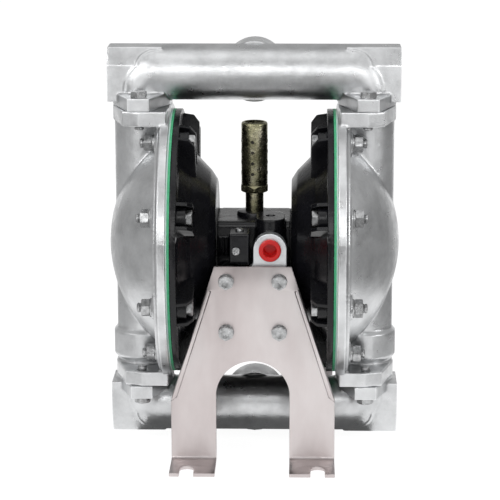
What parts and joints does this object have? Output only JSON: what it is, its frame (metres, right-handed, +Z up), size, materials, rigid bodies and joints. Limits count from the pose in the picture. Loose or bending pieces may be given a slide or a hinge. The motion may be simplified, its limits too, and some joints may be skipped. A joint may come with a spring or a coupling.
{
  "type": "air operated diaphragm pump",
  "caption": "Stainless double diaphragm pump driven by compressed air, with horizontal manifolds, black air caps, a top muffler and slotted sheet-metal feet.",
  "frame": {"origin": "on the floor, under the middle of the pump", "axes": "+X along the pump shaft to the right, -Y towards the front with the air inlet, +Z up"},
  "size_m": [0.313, 0.295, 0.441],
  "materials": {
    "stainless_casting": "bead-blasted stainless casting",
    "black_paint": "gloss black paint on a casting",
    "green_rubber": "green rubber sheet",
    "ptfe": "white fluoroplastic",
    "bolt_steel": "bright stainless fastener",
    "plate_steel": "machined stainless",
    "gasket_sheet": "fibre gasket",
    "bronze": "bearing bronze",
    "seal_rubber": "black rubber",
    "aluminium_casting": "pale cast aluminium",
    "red_plastic": "glossy red plastic",
    "muffler_brass": "dark olive plated metal",
    "felt": "sooty felt",
    "bracket_sheet": "satin stainless sheet"
  },
  "bodies": {
    "pump_body": {"air_inlet_block": "aluminium_casting", "back_bracket": "bracket_sheet", "back_cover_gasket": "gasket_sheet", "back_valve_cover": "aluminium_casting", "bracket_bolts": "bolt_steel", "bracket_washers": "bolt_steel", "cap_washers": "bolt_steel", "centre_body": "black_paint", "cover_screws": "bolt_steel", "discharge_manifold": "stainless_casting", "discharge_manifold_bolts": "bolt_steel", "front_bracket": "bracket_sheet", "hub_screws": "bolt_steel", "left_air_cap": "black_paint", "left_backup_diaphragm": "green_rubber", "left_cap_bolts": "bolt_steel", "left_cap_nuts": "bolt_steel", "left_fluid_cap": "stainless_casting", "left_hub_gasket": "gasket_sheet", "left_ptfe_diaphragm": "ptfe", "left_shaft_bush": "bronze", "left_shaft_seal": "seal_rubber", "left_valve_plug": "aluminium_casting", "lower_left_ball_seat": "plate_steel", "lower_right_ball_seat": "plate_steel", "muffler_felt": "felt", "muffler_fitting": "muffler_brass", "muffler_shell": "muffler_brass", "pilot_cover": "black_paint", "right_air_cap": "black_paint", "right_backup_diaphragm": "green_rubber", "right_cap_bolts": "bolt_steel", "right_cap_nuts": "bolt_steel", "right_fluid_cap": "stainless_casting", "right_hub_gasket": "gasket_sheet", "right_ptfe_diaphragm": "ptfe", "right_shaft_bush": "bronze", "right_shaft_seal": "seal_rubber", "right_valve_plug": "aluminium_casting", "seat_seal_rings": "ptfe", "suction_manifold": "stainless_casting", "suction_manifold_bolts": "bolt_steel", "upper_left_ball_seat": "plate_steel", "upper_right_ball_seat": "plate_steel", "valve_sleeve": "bronze"},
    "shaft_assembly": {"connecting_shaft": "bolt_steel", "left_inner_plate": "plate_steel", "right_inner_plate": "plate_steel", "left_outer_plate": "plate_steel", "right_outer_plate": "plate_steel", "left_plate_nut": "plate_steel", "right_plate_nut": "plate_steel"},
    "upper_left_ball": {"upper_left_ball": "ptfe"},
    "upper_right_ball": {"upper_right_ball": "ptfe"},
    "lower_left_ball": {"lower_left_ball": "ptfe"},
    "lower_right_ball": {"lower_right_ball": "ptfe"},
    "air_valve_spool": {"valve_spool": "aluminium_casting"},
    "pilot_pin": {"pilot_pin": "bolt_steel"},
    "inlet_plug": {"inlet_plug": "red_plastic"}
  },
  "joints": [
    {"name": "shaft_slide", "type": "slide", "parent": "pump_body", "child": "shaft_assembly", "axis": [1, 0, 0], "range_m": [-0.012, 0.012], "deforming": ["left_backup_diaphragm", "right_backup_diaphragm", "left_ptfe_diaphragm", "right_ptfe_diaphragm"]},
    {"name": "upper_left_ball_lift", "type": "slide", "parent": "pump_body", "child": "upper_left_ball", "axis": [0, 0, 1], "range_m": [0, 0.008]},
    {"name": "upper_right_ball_lift", "type": "slide", "parent": "pump_body", "child": "upper_right_ball", "axis": [0, 0, 1], "range_m": [0, 0.008]},
    {"name": "lower_left_ball_lift", "type": "slide", "parent": "pump_body", "child": "lower_left_ball", "axis": [0, 0, 1], "range_m": [0, 0.008]},
    {"name": "lower_right_ball_lift", "type": "slide", "parent": "pump_body", "child": "lower_right_ball", "axis": [0, 0, 1], "range_m": [0, 0.008]},
    {"name": "spool_slide", "type": "slide", "parent": "pump_body", "child": "air_valve_spool", "axis": [1, 0, 0], "range_m": [-0.006, 0.006]},
    {"name": "pilot_slide", "type": "slide", "parent": "pump_body", "child": "pilot_pin", "axis": [1, 0, 0], "range_m": [-0.003, 0.003]},
    {"name": "plug_pull", "type": "slide", "parent": "pump_body", "child": "inlet_plug", "axis": [0, -1, 0], "range_m": [0, 0.03]}
  ]
}
